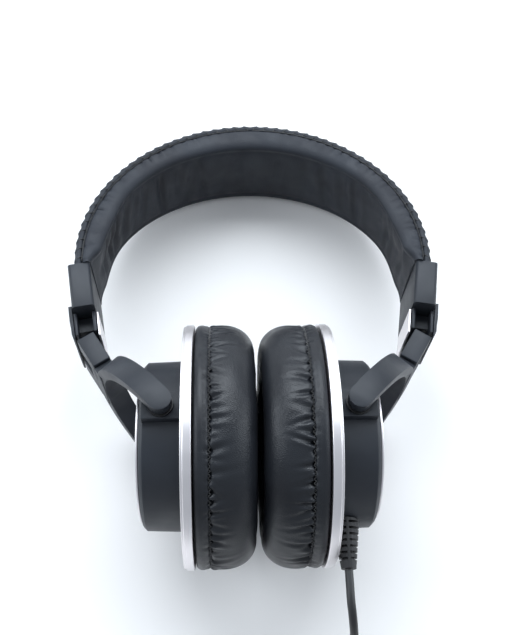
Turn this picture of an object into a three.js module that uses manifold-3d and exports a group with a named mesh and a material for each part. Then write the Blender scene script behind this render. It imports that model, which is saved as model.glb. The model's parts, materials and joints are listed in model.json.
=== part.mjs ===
// Over-ear headphones: a padded spring band, and on each side a length slider, a fold hinge,
// a swivelling C-shaped yoke and a round closed cup. They lie on their back, front side up.
//
// Millimetres. The pieces are built in the wearer's frame, with the cups' tilt axes at y = 0, z = 0:
// x towards the wearer's left ear, y towards the crown, z towards the front. The whole then leans
// back by the angle at which the two rings and the band's rear edge touch a table.
// Each side is built for the left (+x) and mirrored for the right.

import * as THREE from 'three';
import { mergeVertices } from 'three/addons/utils/BufferGeometryUtils.js';
import Module from 'manifold-3d';

const wasm = await Module();
wasm.setup();

// ---------- driving dimensions ----------

const GAP = 0.3;                 // clearance between pieces that touch
const TURN_STEPS = 40;           // facets round a large turned piece
const SMALL_STEPS = 20;          // facets round a pin or boss

// headband
const BAND_HALF_SPAN = 72.2;     // half width of the band's outer curve
const BAND_RISE = 65.4;          // height of the crown over the curve's centre
const BAND_CENTRE_Y = 72.6;
const BAND_BELOW_CENTRE = 4.6;   // how far the band's legs run below the curve's centre
const BAND_END_Y = BAND_CENTRE_Y - BAND_BELOW_CENTRE;
const BAND_HALF_WIDTH = 18;      // half of the band's front-to-back width
const COVER_WALL = 2.0;
const SPRING_WALL = 0.8;
const SPRING_HALF_WIDTH = 12;
const PAD_WALL_END = 4.4;        // padding at the band's ends
const PAD_WALL_CROWN = 9.8;      // padding at the crown
const CROWN_HALF = 14;           // half length of the crown section between the two flexures
const BAND_STEPS = 18;           // steps along each leg of the band
const CROWN_STEPS = 4;

// arm: end block and length slider, leaning outwards towards the band
const ARM_LEAN = THREE.MathUtils.degToRad(9.4);
const ARM_INSET = 5.4;           // from the band's outer curve in to the end block's centre
const ARM_X = BAND_HALF_SPAN - ARM_INSET;
const BLOCK_BELOW_BAND = 20;     // from the band's end down to the end block's lower face
const ARM_Y = BAND_END_Y - BLOCK_BELOW_BAND;
const BLOCK_HEIGHT = 19.4;
const BLOCK_HALF_THICK = 4.4;
const BLOCK_HALF_WIDTH = 18.7;
const BLOCK_CORNER = 1.4;
const STRIP_SKIN = 0.4;          // from the end block's inner face to the sliding strip
const STRIP_INNER_X = STRIP_SKIN - BLOCK_HALF_THICK;
const STRIP_WALL = 1.2;
const STRIP_HALF_WIDTH = 9;
const STRIP_ABOVE_BLOCK = 6;     // how far the strip reaches past the end block when closed
const SLIDER_HALF_WIDTH = 14;
const BRIDGE_TOP = -0.4;
const BRIDGE_HEIGHT = 5.8;
const BRIDGE_HALF_WIDTH = 8.6;   // set back between the slider's two walls
const WALL_THICK = 1.1;          // outer side wall of the slider, flush with the end block
const WALL_INNER_X = BLOCK_HALF_THICK - WALL_THICK;
const WALL_SHORT = 1.2;          // the outer wall ends this much above the cover's foot
const TONGUE_HALF_WIDTH = 4.4;
const TONGUE_WALL = 0.8;         // round the hinge pin's hole
const SLIDER_COVER_WALL = 1.5;
const SLIDER_COVER_OVERLAP = 3.2;  // the cover laps over the end block by this much
const SLIDER_COVER_KNEE_Y = -3.5;  // below this the cover curves inwards
const SLIDER_COVER_END_Y = -11.1;
const SLIDER_COVER_FOOT = 1.3;   // the cover's foot stands off the knuckle's side by this much
const SCALE_PLATE_WALL = 0.8;
const SCALE_PLATE_SHORT = 1;     // the plate is this much narrower than the slider at each edge
const SCALE_PLATE_END_Y = -10.6;

// fold hinge and knuckle
const HINGE_INSET = 3;           // from the end block's centre in to the hinge pin
const HINGE_DROP = 14;           // from the end block's lower face down to the hinge pin
const HINGE_X = ARM_X - HINGE_INSET;
const HINGE_Y = ARM_Y - HINGE_DROP;
const HINGE_PIN_R = 1.3;
const HINGE_PIN_SHORT = 2;       // the pin ends this far inside the slider's edges
const HINGE_PIN_HALF = SLIDER_HALF_WIDTH - HINGE_PIN_SHORT;
const TONGUE_HALF_THICK = HINGE_PIN_R + GAP + TONGUE_WALL;
const KNUCKLE_LEAN = THREE.MathUtils.degToRad(32.6);
const KNUCKLE_HALF_THICK = 3.6;
const KNUCKLE_CAP = 2.4;         // material over the hinge pin's hole
const KNUCKLE_TOP = HINGE_PIN_R + GAP + KNUCKLE_CAP;
const KNUCKLE_BOTTOM = -9.3;
const FORK_DEPTH = 4.4;          // how far the fork's slot runs below the pin
const SWIVEL_PIN_R = 2.0;
const SWIVEL_PIN_UP = 4.0;       // length of the pin inside the knuckle
const SWIVEL_PIN_DOWN = 3.6;     // length of the pin inside the yoke

// cup, as distances from the middle plane between the cups
const CUP_Y = -2.7;               // the cup hangs this far below its tilt axis
const CUP_R = 31.5;
const CUP_FLARE = 0.5;           // the cup is this much wider at its root
const CUP_ROOT_R = CUP_R + CUP_FLARE;
const CUP_WALL = 2.2;
const CUP_END = 42.3;
const CUP_EDGE = 1.4;            // chamfer round the cup's end
const RING_R = 45.7;
const RING_WALL = 7.1;
const RING_INNER_R = RING_R - RING_WALL;
const RING_DEPTH = 3.8;
const RING_FRONT = 23.4;
const RING_BACK = RING_FRONT + RING_DEPTH;
const RING_EDGE = 0.5;
const DISC_INSET = 2.9;          // the disc's rim is this far inside the cup's side
const DISC_R = CUP_R - DISC_INSET;
const DISC_WALL = 0.8;
const SEAT_HALF_HEIGHT = 5;
const SEAT_PROUD = 3.5;          // the flat pivot seats stand this far proud of the cup's side
const SEAT_Z = CUP_R + SEAT_PROUD;
const SEAT_EDGE = 1.2;           // the seat stops this far short of the cup's end
const BUSH_R = 4.6;
const BASE_LIP = 4.1;            // thickness of the skirt round the baffle's rim, with its clearance
const BAFFLE_R = RING_R - BASE_LIP;
const BAFFLE_WALL = 2.3;
const BAFFLE_BACK = RING_FRONT - GAP;
const BAFFLE_FRONT = BAFFLE_BACK - BAFFLE_WALL;
const CUSHION_HOLE_R = 24.6;
const CUSHION_FACE = 4;          // foam core's face; the soft skin fills the rest to the middle plane
const CUSHION_SEAM = 17.3;
const BASE_FRONT = CUSHION_SEAM + GAP;
const BASE_SHORT = 1.1;          // the skirt ends this far in front of the ring
const BASE_BACK = RING_FRONT - BASE_SHORT;
const BASE_HOLE_MARGIN = 1.7;    // the skirt's hole is this much wider than the cushion's
const BASE_HOLE_R = CUSHION_HOLE_R + BASE_HOLE_MARGIN;
const CLOTH_WALL = 0.8;
const CLOTH_SAG = 0.2;           // the cloth lies this far off the baffle, besides its clearance
const DRIVER_R = 20.3;
const DRIVER_RIM = 4.3;          // the frame's rim, from the cone's edge out
const CONE_R = DRIVER_R - DRIVER_RIM;
const CONE_WALL = 0.5;
const BASKET_DEPTH = 7.5;        // from the frame's front to its neck round the magnet
const BASKET_RIM_DEPTH = 4.2;
const BASKET_WALL = 1.5;
const MAGNET_R = 11.4;
const MAGNET_FRONT = BAFFLE_FRONT + 5.4;
const MAGNET_BACK = 33;

// yoke, from the hub under the knuckle to the cup's two tilt pivots
const PIVOT_X = 34.4;            // the cup's tilt axis
const HUB_DEPTH = 5.2;
const HUB_HALF_WIDTH = 12.6;
const YOKE_LAG = THREE.MathUtils.degToRad(0.9);  // the strap leans this much less than its hub lies
const YOKE_HALF_STRAP = 4.2;     // half the strap's width
const YOKE_WALL = 4.6;
const BUSH_ROOM = 2;             // from the pivot seats to the inside of the yoke's ends
const YOKE_INNER_REACH = SEAT_Z + BUSH_ROOM;
const PIVOT_PIN_R = 1.5;
const PIVOT_PIN_IN = 3;          // the pin's length inside the seat
const PIVOT_PIN_OUT = 3.2;       // the pin's length inside the yoke
const PIVOT_PIN_END = YOKE_INNER_REACH + PIVOT_PIN_OUT;

// cord, with its strain relief, coil, tie and plug
const CORD_D = 3.0;
const RELIEF_X = 30.9;
const RELIEF_Z = 5;              // the cord leaves the cup a little in front of its middle
const RELIEF_TOP_R = 5.4;
const RELIEF_END_R = 2.7;
const RELIEF_LENGTH = 16.4;      // from the cup's side to the sleeve's end
const RELIEF_END_Y = CUP_Y - CUP_R - RELIEF_LENGTH;
const RELIEF_NECK_R = 3.0;
const RELIEF_SUNK = 3;           // how far its neck reaches through the cup's wall
const RELIEF_CORE_R = 2.2;
const RELIEF_SLOTS = 7;
const RELIEF_FIRST_SLOT = 2.7;   // from the sleeve's end
const RELIEF_SLOT_PITCH = 2.1;
const RELIEF_SLOT = 0.85;
const RELIEF_RIB = 1.0;
const COIL_X = 62;
const COIL_Y = -160;
const COIL_MID_R = 18;
const COIL_BUNDLE_R = 9.2;
const TIE_WALL = 0.9;
const TIE_HALF_WIDTH = 6;
const PLUG_X = 78;
const PLUG_Y = -184;
const PLUG_GRIP_R = 4.5;
const PLUG_GRIP_LENGTH = 26;
const PLUG_NECK_R = 2.4;
const PLUG_NECK_LENGTH = 8;
const JACK_LENGTH = 14;
const JACK_R = 1.75;
const JACK_TIP_R = 1.1;          // the waist behind the jack's point

// route of the free cord, from the strain relief to the coil, in the finished frame
const CORD_ROUTE = [
  [30.9, -94.2, 60.2], [30.9, -99.0, 61.2], [30.9, -103.9, 61.9], [31.3, -108.8, 61.4],
  [31.9, -113.4, 58.6], [32.6, -117.5, 53.4], [33.3, -120.9, 46.2], [33.9, -123.8, 38.1],
  [34.4, -126.4, 29.5], [34.8, -129.1, 21.2], [35.1, -132.3, 13.5], [35.3, -136.5, 7.0],
  [35.4, -141.4, 3.2], [35.5, -146.5, 1.8], [35.6, -150.8, 2.0], [35.9, -154.5, 2.7],
];

// ---------- materials ----------

function plain(colour, roughness, metalness = 0) {
  return new THREE.MeshStandardMaterial({ color: colour, roughness, metalness });
}

const MATERIALS = {
  plastic: plain(0x26282b, 0.55),
  leather: plain(0x1d1f22, 0.42),
  silver: plain(0xc9c8cb, 0.3, 0.9),
  steel: plain(0x9a9da1, 0.35, 1),
  rubber: plain(0x161718, 0.7),
  cloth: plain(0x121314, 0.9),
  film: plain(0xb9b2a4, 0.4),
};

// ---------- solid tools ----------

// One closed shell with shared corners and its faces pointing out.
function closed(geometry) {
  const bare = geometry.clone();
  bare.deleteAttribute('normal');
  bare.deleteAttribute('uv');
  const shell = mergeVertices(bare, 1e-4);
  const corners = shell.index.array;
  const kept = [];
  for (let i = 0; i < corners.length; i += 3) {
    const [a, b, c] = [corners[i], corners[i + 1], corners[i + 2]];
    if (a !== b && b !== c && c !== a) {
      kept.push(a, b, c);
    }
  }
  shell.setIndex(kept);
  return volumeOf(shell) < 0 ? flipped(shell) : shell;
}

function volumeOf(shell) {
  const corner = [new THREE.Vector3(), new THREE.Vector3(), new THREE.Vector3()];
  let sum = 0;
  for (let i = 0; i < shell.index.count; i += 3) {
    corner.forEach((v, k) => v.fromBufferAttribute(shell.attributes.position, shell.index.getX(i + k)));
    sum += corner[0].dot(corner[1].cross(corner[2]));
  }
  return sum / 6;
}

function flipped(shell) {
  const turned = shell.clone();
  const corners = Array.from(shell.index.array);
  for (let i = 0; i < corners.length; i += 3) {
    [corners[i], corners[i + 1]] = [corners[i + 1], corners[i]];
  }
  turned.setIndex(corners);
  return turned;
}

function toSolid(geometry) {
  const shell = closed(geometry);
  return new wasm.Manifold(new wasm.Mesh({
    numProp: 3,
    vertProperties: new Float32Array(shell.attributes.position.array),
    triVerts: new Uint32Array(shell.index.array),
  }));
}

function toGeometry(solid) {
  const mesh = solid.getMesh();
  const geometry = new THREE.BufferGeometry();
  geometry.setAttribute('position', new THREE.BufferAttribute(mesh.vertProperties, 3));
  geometry.setIndex(Array.from(mesh.triVerts));
  return geometry;
}

function cut(body, ...tools) {
  return toGeometry(tools.reduce((solid, tool) => solid.subtract(toSolid(tool)), toSolid(body)));
}

function join(...bodies) {
  return toGeometry(bodies.map(toSolid).reduce((sum, solid) => sum.add(solid)));
}

function common(a, b) {
  return toGeometry(toSolid(a).intersect(toSolid(b)));
}

// A box given by its lowest and highest corners.
function block(low, high) {
  const size = high.map((value, i) => value - low[i]);
  const centre = high.map((value, i) => (value + low[i]) / 2);
  return new THREE.BoxGeometry(...size).translate(...centre);
}

// An outline of [x, y] points, extruded along z between two heights.
function prism(points, low, high) {
  const shape = new THREE.Shape(points.map(([x, y]) => new THREE.Vector2(x, y)));
  const depth = high - low;
  return new THREE.ExtrudeGeometry(shape, { depth, bevelEnabled: false }).translate(0, 0, low);
}

// A plate standing on z, its corners rounded as seen from above.
function roundedPlate(low, high, corner) {
  const shape = new THREE.Shape();
  const [x0, y0, z0] = low;
  const [x1, y1, z1] = high;
  shape.absarc(x1 - corner, y1 - corner, corner, 0, Math.PI / 2);
  shape.absarc(x0 + corner, y1 - corner, corner, Math.PI / 2, Math.PI);
  shape.absarc(x0 + corner, y0 + corner, corner, Math.PI, 1.5 * Math.PI);
  shape.absarc(x1 - corner, y0 + corner, corner, 1.5 * Math.PI, 2 * Math.PI);
  const options = { depth: z1 - z0, bevelEnabled: false, curveSegments: 3 };
  return new THREE.ExtrudeGeometry(shape, options).translate(0, 0, z0);
}

// A profile of [radius, distance] points turned about the x axis.
function turned(profile, steps = TURN_STEPS) {
  const points = profile.map(([r, along]) => new THREE.Vector2(r, along));
  return new THREE.LatheGeometry(points, steps).rotateZ(-Math.PI / 2);
}

function rod(radius, low, high, steps = SMALL_STEPS) {
  const length = high - low;
  return new THREE.CylinderGeometry(radius, radius, length, steps).translate(0, (low + high) / 2, 0);
}

// A rod along z, standing at x and y.
function zRod(radius, x, y, low, high, steps = SMALL_STEPS) {
  return rod(radius, low, high, steps).rotateX(Math.PI / 2).translate(x, y, 0);
}

function mirrored(geometry) {
  return flipped(closed(geometry.clone().scale(-1, 1, 1)));
}

function piece(name, geometry, material, side = 1) {
  const shell = closed(side < 0 ? mirrored(geometry) : geometry);
  const mesh = new THREE.Mesh(shell, MATERIALS[material]);
  mesh.name = name;
  return mesh;
}

// A frame at x and y on one side, leaning outwards.
function leaning(side, x, y, lean, ...meshes) {
  const frame = new THREE.Group();
  frame.position.set(side * x, y, 0);
  frame.rotation.z = -side * lean;
  frame.add(...meshes);
  return frame;
}

// The same frame as a matrix, for shapes that are built across two frames.
function leaningMatrix(x, y, lean) {
  return new THREE.Matrix4().makeTranslation(x, y, 0).multiply(new THREE.Matrix4().makeRotationZ(-lean));
}

// ---------- headband ----------

// One layer of the band, between two nested half ellipses given as [half span, rise].
function bandLayer(outer, inner, angleOf, halfWidth, steps) {
  const edge = ([span, rise], reverse) => {
    const [from, to] = angleOf(span, rise);
    const points = [];
    for (let i = 0; i <= steps; i++) {
      const angle = from + (to - from) * (reverse ? 1 - i / steps : i / steps);
      points.push([span * Math.cos(angle), BAND_CENTRE_Y + rise * Math.sin(angle)]);
    }
    return points;
  };
  return prism([...edge(outer, false), ...edge(inner, true)], -halfWidth, halfWidth);
}

function sideAngles(span, rise) {
  return [Math.asin((BAND_END_Y - BAND_CENTRE_Y) / rise), Math.acos((CROWN_HALF + GAP / 2) / span)];
}

function crownAngles(span) {
  const start = Math.acos((CROWN_HALF - GAP / 2) / span);
  return [start, Math.PI - start];
}

function shrink([span, rise], by) {
  return [span - by, rise - by];
}

const COVER_OUTER = [BAND_HALF_SPAN, BAND_RISE];
const COVER_INNER = shrink(COVER_OUTER, COVER_WALL);
const SPRING_OUTER = shrink(COVER_INNER, GAP);
const SPRING_INNER = shrink(SPRING_OUTER, SPRING_WALL);
const PAD_OUTER = shrink(SPRING_INNER, GAP);
const PAD_INNER = [PAD_OUTER[0] - PAD_WALL_END, PAD_OUTER[1] - PAD_WALL_CROWN];
const BAND_LAYERS = [
  ['band_cover', COVER_OUTER, COVER_INNER, BAND_HALF_WIDTH, 'leather'],
  ['band_spring', SPRING_OUTER, SPRING_INNER, SPRING_HALF_WIDTH, 'steel'],
  ['headband_pad', PAD_OUTER, PAD_INNER, BAND_HALF_WIDTH, 'leather'],
];

function crownSection() {
  return BAND_LAYERS.map(([name, outer, inner, halfWidth, material]) => {
    const layer = bandLayer(outer, inner, crownAngles, halfWidth, CROWN_STEPS);
    return piece(`${name}_crown`, layer, material);
  });
}

// The pocket in which the sliding strip runs, with its clearance, in the arm's frame.
function stripPocket() {
  const low = [STRIP_INNER_X - GAP, -1, -STRIP_HALF_WIDTH - GAP];
  const high = [
    STRIP_INNER_X + STRIP_WALL + GAP,
    BLOCK_HEIGHT + STRIP_ABOVE_BLOCK + 2 * GAP,
    STRIP_HALF_WIDTH + GAP,
  ];
  return block(low, high);
}

function bandSide(side, suffix) {
  const pocket = stripPocket().applyMatrix4(leaningMatrix(ARM_X, ARM_Y, ARM_LEAN));
  const blockBody = endBlock().applyMatrix4(leaningMatrix(ARM_X, ARM_Y, ARM_LEAN));
  const grown = grownBlock().applyMatrix4(leaningMatrix(ARM_X, ARM_Y, ARM_LEAN));
  const layers = BAND_LAYERS.map(([name, outer, inner, halfWidth, material]) => {
    const layer = bandLayer(outer, inner, sideAngles, halfWidth, BAND_STEPS);
    const trimmed = name === 'headband_pad' ? cut(layer, pocket, grown) : cut(layer, grown);
    return piece(`${name}_${suffix}`, trimmed, material, side);
  });
  return [...layers, piece(`end_block_${suffix}`, blockBody, 'plastic', side)];
}

// ---------- end block and slider, in the arm's frame ----------

function endBlock() {
  const low = [-BLOCK_HALF_THICK, -BLOCK_HALF_WIDTH, 0];
  const high = [BLOCK_HALF_THICK, BLOCK_HALF_WIDTH, BLOCK_HEIGHT];
  const body = roundedPlate(low, high, BLOCK_CORNER).rotateX(-Math.PI / 2);
  return cut(body, stripPocket());
}

function grownBlock() {
  const low = [-BLOCK_HALF_THICK - GAP, -1, -BLOCK_HALF_WIDTH - GAP];
  const high = [BLOCK_HALF_THICK + GAP, BLOCK_HEIGHT + GAP, BLOCK_HALF_WIDTH + GAP];
  return block(low, high);
}

// Where the hinge pin stands in the arm's frame.
function hingeInArm() {
  const inverse = leaningMatrix(ARM_X, ARM_Y, ARM_LEAN).invert();
  return new THREE.Vector3(HINGE_X, HINGE_Y, 0).applyMatrix4(inverse);
}

// How low a wall may reach: just above the path of the knuckle's corner as it turns.
function clearOfKnuckle(wallX) {
  const pin = hingeInArm();
  const corner = Math.hypot(KNUCKLE_TOP, KNUCKLE_HALF_THICK);
  const offset = Math.abs(wallX - pin.x);
  return pin.y + GAP + (offset < corner ? Math.sqrt(corner ** 2 - offset ** 2) : 0);
}

// A strip that runs in the end block, a bridge between two walls, and the tongue for the pin.
function sliderArm() {
  const pin = hingeInArm();
  const bridgeBottom = BRIDGE_TOP - BRIDGE_HEIGHT;
  const outerX = WALL_INNER_X + WALL_THICK;
  const strip = block(
    [STRIP_INNER_X, BRIDGE_TOP - STRIP_WALL, -STRIP_HALF_WIDTH],
    [STRIP_INNER_X + STRIP_WALL, BLOCK_HEIGHT + STRIP_ABOVE_BLOCK, STRIP_HALF_WIDTH],
  );
  const bridge = block(
    [STRIP_INNER_X, bridgeBottom, -BRIDGE_HALF_WIDTH],
    [outerX, BRIDGE_TOP, BRIDGE_HALF_WIDTH],
  );
  const innerWall = block(
    [STRIP_INNER_X, clearOfKnuckle(STRIP_INNER_X + STRIP_WALL), -SLIDER_HALF_WIDTH],
    [STRIP_INNER_X + STRIP_WALL, BRIDGE_TOP, SLIDER_HALF_WIDTH],
  );
  const outerWall = block(
    [WALL_INNER_X, SLIDER_COVER_END_Y + WALL_SHORT, -SLIDER_HALF_WIDTH],
    [outerX, BRIDGE_TOP, SLIDER_HALF_WIDTH],
  );
  const bore = zRod(HINGE_PIN_R + GAP, pin.x, pin.y, -HINGE_PIN_HALF, HINGE_PIN_HALF);
  return cut(join(strip, bridge, innerWall, outerWall, tongue(pin, BRIDGE_TOP - STRIP_WALL)), bore);
}

// The tongue hangs from the bridge, its lower end rounded about the pin.
function tongue(pin, top) {
  const shape = new THREE.Shape();
  shape.moveTo(pin.x - TONGUE_HALF_THICK, top);
  shape.lineTo(pin.x - TONGUE_HALF_THICK, pin.y);
  shape.absarc(pin.x, pin.y, TONGUE_HALF_THICK, Math.PI, 2 * Math.PI);
  shape.lineTo(pin.x + TONGUE_HALF_THICK, top);
  const options = { depth: 2 * TONGUE_HALF_WIDTH, bevelEnabled: false, curveSegments: 8 };
  return new THREE.ExtrudeGeometry(shape, options).translate(0, 0, -TONGUE_HALF_WIDTH);
}

// The proud outer cover: a plate that curves inwards at its lower end.
function sliderCover() {
  const faceX = BLOCK_HALF_THICK + GAP;
  const footX = hingeInArm().x + KNUCKLE_HALF_THICK + SLIDER_COVER_FOOT;
  const curve = SLIDER_COVER_KNEE_Y - SLIDER_COVER_END_Y;
  const outer = [
    [faceX + SLIDER_COVER_WALL, SLIDER_COVER_OVERLAP],
    [faceX + SLIDER_COVER_WALL, SLIDER_COVER_KNEE_Y],
    [faceX + 0.83 * SLIDER_COVER_WALL, SLIDER_COVER_KNEE_Y - 0.4 * curve],
    [footX + 1.1 * SLIDER_COVER_WALL, SLIDER_COVER_KNEE_Y - 0.75 * curve],
    [footX + 0.7 * SLIDER_COVER_WALL, SLIDER_COVER_END_Y],
  ];
  const inner = [
    [footX + GAP, SLIDER_COVER_END_Y],
    [faceX, SLIDER_COVER_END_Y + WALL_SHORT + GAP],
    [faceX, SLIDER_COVER_OVERLAP],
  ];
  return prism([...outer, ...inner], -SLIDER_HALF_WIDTH, SLIDER_HALF_WIDTH);
}

function scalePlate() {
  const back = STRIP_INNER_X - GAP;
  return block(
    [back - SCALE_PLATE_WALL, SCALE_PLATE_END_Y, SCALE_PLATE_SHORT - SLIDER_HALF_WIDTH],
    [back, BRIDGE_TOP, SLIDER_HALF_WIDTH - SCALE_PLATE_SHORT],
  );
}

function slider(side, suffix) {
  const pin = hingeInArm();
  const hingePin = zRod(HINGE_PIN_R, pin.x, pin.y, -HINGE_PIN_HALF, HINGE_PIN_HALF);
  return leaning(
    side, ARM_X, ARM_Y, ARM_LEAN,
    piece(`slider_arm_${suffix}`, sliderArm(), 'plastic', side),
    piece(`slider_cover_${suffix}`, sliderCover(), 'plastic', side),
    piece(`slider_scale_${suffix}`, scalePlate(), 'silver', side),
    piece(`hinge_pin_${suffix}`, hingePin, 'steel', side),
  );
}

// ---------- knuckle, in a frame at the hinge pin with y up along the knuckle ----------

function knuckle() {
  const body = block(
    [-KNUCKLE_HALF_THICK, KNUCKLE_BOTTOM, -SLIDER_HALF_WIDTH],
    [KNUCKLE_HALF_THICK, KNUCKLE_TOP, SLIDER_HALF_WIDTH],
  );
  const slotHalf = TONGUE_HALF_WIDTH + GAP;
  const slot = block(
    [-KNUCKLE_HALF_THICK - 1, -FORK_DEPTH, -slotHalf],
    [KNUCKLE_HALF_THICK + 1, KNUCKLE_TOP + 1, slotHalf],
  );
  const bore = zRod(HINGE_PIN_R + GAP, 0, 0, -HINGE_PIN_HALF - GAP, HINGE_PIN_HALF + GAP);
  const socket = rod(SWIVEL_PIN_R + GAP, KNUCKLE_BOTTOM - 1, KNUCKLE_BOTTOM + SWIVEL_PIN_UP + GAP);
  return cut(body, slot, bore, socket);
}

function knuckleGroup(side, suffix) {
  const pin = rod(SWIVEL_PIN_R, KNUCKLE_BOTTOM - SWIVEL_PIN_DOWN, KNUCKLE_BOTTOM + SWIVEL_PIN_UP);
  return leaning(
    side, HINGE_X, HINGE_Y, KNUCKLE_LEAN,
    piece(`knuckle_${suffix}`, knuckle(), 'plastic', side),
    piece(`swivel_pin_${suffix}`, pin, 'steel', side),
  );
}

// ---------- yoke ----------

// How far the hub's middle is from the tilt axis, and how far the line to it leans outwards.
function hubPlace() {
  const hub = new THREE.Vector3(0, KNUCKLE_BOTTOM - GAP - HUB_DEPTH / 2, 0);
  hub.applyMatrix4(leaningMatrix(HINGE_X, HINGE_Y, KNUCKLE_LEAN));
  return { rise: Math.hypot(hub.x - PIVOT_X, hub.y), lean: Math.atan2(hub.x - PIVOT_X, hub.y) };
}

function yokeInnerRise() {
  return hubPlace().rise - YOKE_WALL / 2;
}

// The strap: half an elliptical ring in the yoke's leaning plane, its ends round about the pivots.
function yokeStrap() {
  const reach = YOKE_INNER_REACH + YOKE_WALL;
  const innerRise = yokeInnerRise();
  const rise = innerRise + YOKE_WALL;
  const run = YOKE_HALF_STRAP;
  const shape = new THREE.Shape();
  shape.moveTo(reach, -run);
  shape.lineTo(reach, 0);
  shape.absellipse(0, 0, reach, rise, 0, Math.PI);
  shape.lineTo(-reach, -run);
  shape.lineTo(-YOKE_INNER_REACH, -run);
  shape.lineTo(-YOKE_INNER_REACH, 0);
  shape.absellipse(0, 0, YOKE_INNER_REACH, innerRise, Math.PI, 0, true);
  shape.lineTo(YOKE_INNER_REACH, -run);
  const options = { depth: 2 * run, bevelEnabled: false, curveSegments: 28 };
  const strap = new THREE.ExtrudeGeometry(shape, options).translate(0, 0, -run).rotateY(Math.PI / 2);
  const outline = join(
    block([-run, 0, -reach - 1], [run, rise + 1, reach + 1]),
    zRod(run, 0, 0, -reach - 1, reach + 1, 16),
  );
  return common(strap, outline);
}

function yoke() {
  const hub = block(
    [-KNUCKLE_HALF_THICK, KNUCKLE_BOTTOM - GAP - HUB_DEPTH, -HUB_HALF_WIDTH],
    [KNUCKLE_HALF_THICK, KNUCKLE_BOTTOM - GAP, HUB_HALF_WIDTH],
  );
  const knuckleFrame = leaningMatrix(HINGE_X, HINGE_Y, KNUCKLE_LEAN);
  const yokeFrame = leaningMatrix(PIVOT_X, 0, hubPlace().lean - YOKE_LAG);
  const socketEnd = KNUCKLE_BOTTOM - SWIVEL_PIN_DOWN - GAP;
  const socket = rod(SWIVEL_PIN_R + GAP, socketEnd, 0);
  const knuckleRoom = block(
    [-2 * KNUCKLE_HALF_THICK, KNUCKLE_BOTTOM - GAP, -2 * SLIDER_HALF_WIDTH],
    [2 * KNUCKLE_HALF_THICK, 0, 2 * SLIDER_HALF_WIDTH],
  );
  const pinEnd = PIVOT_PIN_END + GAP;
  const pivotBore = zRod(PIVOT_PIN_R + GAP, PIVOT_X, 0, -pinEnd, pinEnd);
  return cut(
    join(yokeStrap().applyMatrix4(yokeFrame), hub.applyMatrix4(knuckleFrame)),
    knuckleRoom.applyMatrix4(knuckleFrame),
    socket.applyMatrix4(knuckleFrame),
    pivotBore,
  );
}

function yokeGroup(side, suffix) {
  const inner = SEAT_Z - PIVOT_PIN_IN;
  const front = zRod(PIVOT_PIN_R, PIVOT_X, 0, inner, PIVOT_PIN_END);
  const back = zRod(PIVOT_PIN_R, PIVOT_X, 0, -PIVOT_PIN_END, -inner);
  return [
    piece(`yoke_${suffix}`, yoke(), 'plastic', side),
    piece(`pivot_pin_front_${suffix}`, front, 'steel', side),
    piece(`pivot_pin_back_${suffix}`, back, 'steel', side),
  ];
}

// ---------- cup ----------

function housing(withCord) {
  const inner = CUP_R - CUP_WALL;
  const shell = turned([
    [0, CUP_END], [CUP_R - CUP_EDGE, CUP_END], [CUP_R, CUP_END - CUP_EDGE], [CUP_ROOT_R, RING_BACK],
    [RING_INNER_R - GAP, RING_BACK], [RING_INNER_R - GAP, RING_FRONT], [inner, RING_FRONT],
    [inner, CUP_END - CUP_WALL], [0, CUP_END - CUP_WALL],
  ]);
  const seats = [1, -1].map((way) => {
    const heights = [way * (inner + 0.5), way * SEAT_Z].sort((a, b) => a - b);
    return block(
      [RING_BACK, -SEAT_HALF_HEIGHT, heights[0]],
      [CUP_END - SEAT_EDGE, SEAT_HALF_HEIGHT, heights[1]],
    );
  });
  const pivotBore = zRod(PIVOT_PIN_R + GAP, PIVOT_X, 0, -SEAT_Z - 1, SEAT_Z + 1);
  const cordBore = rod(RELIEF_NECK_R + GAP, RELIEF_END_Y, 0).translate(RELIEF_X, 0, RELIEF_Z);
  const cuts = withCord ? [pivotBore, cordBore] : [pivotBore];
  return cut(join(shell.translate(0, CUP_Y, 0), ...seats), ...cuts);
}

function trimRing() {
  return turned([
    [RING_INNER_R, RING_FRONT], [RING_R - RING_EDGE, RING_FRONT], [RING_R, RING_FRONT + RING_EDGE],
    [RING_R, RING_BACK - RING_EDGE], [RING_R - RING_EDGE, RING_BACK], [RING_INNER_R, RING_BACK],
    [RING_INNER_R, RING_FRONT],
  ]);
}

function endDisc() {
  const back = CUP_END + GAP;
  return turned([[0, back], [DISC_R, back], [DISC_R, back + DISC_WALL], [0, back + DISC_WALL]]);
}

// A thick washer between the pivot seat and the yoke, short enough to clear the yoke's curve.
function bush(way) {
  const bore = zRod(PIVOT_PIN_R + GAP, PIVOT_X, 0, -SEAT_Z * 2, SEAT_Z * 2);
  const yokeInside = YOKE_INNER_REACH * Math.sqrt(1 - (BUSH_R / yokeInnerRise()) ** 2);
  const ends = [way * (SEAT_Z + GAP), way * (yokeInside - GAP)].sort((a, b) => a - b);
  return cut(zRod(BUSH_R, PIVOT_X, 0, ends[0], ends[1]), bore);
}

function baffle() {
  const hole = DRIVER_R + GAP;
  return turned([
    [hole, BAFFLE_FRONT], [BAFFLE_R, BAFFLE_FRONT], [BAFFLE_R, BAFFLE_BACK], [hole, BAFFLE_BACK],
    [hole, BAFFLE_FRONT],
  ]);
}

function driverFrame() {
  const hole = MAGNET_R + GAP;
  const front = BAFFLE_FRONT + GAP;
  const back = front + BASKET_DEPTH;
  return turned([
    [CONE_R, front], [DRIVER_R, front], [DRIVER_R, front + BASKET_RIM_DEPTH],
    [hole + BASKET_WALL, back], [hole, back], [hole, back - BASKET_WALL],
    [CONE_R, front + BASKET_RIM_DEPTH - BASKET_WALL / 2], [CONE_R, front],
  ], SMALL_STEPS);
}

function magnet() {
  const corners = [[0, MAGNET_FRONT], [MAGNET_R, MAGNET_FRONT], [MAGNET_R, MAGNET_BACK], [0, MAGNET_BACK]];
  return turned(corners, SMALL_STEPS);
}

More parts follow.
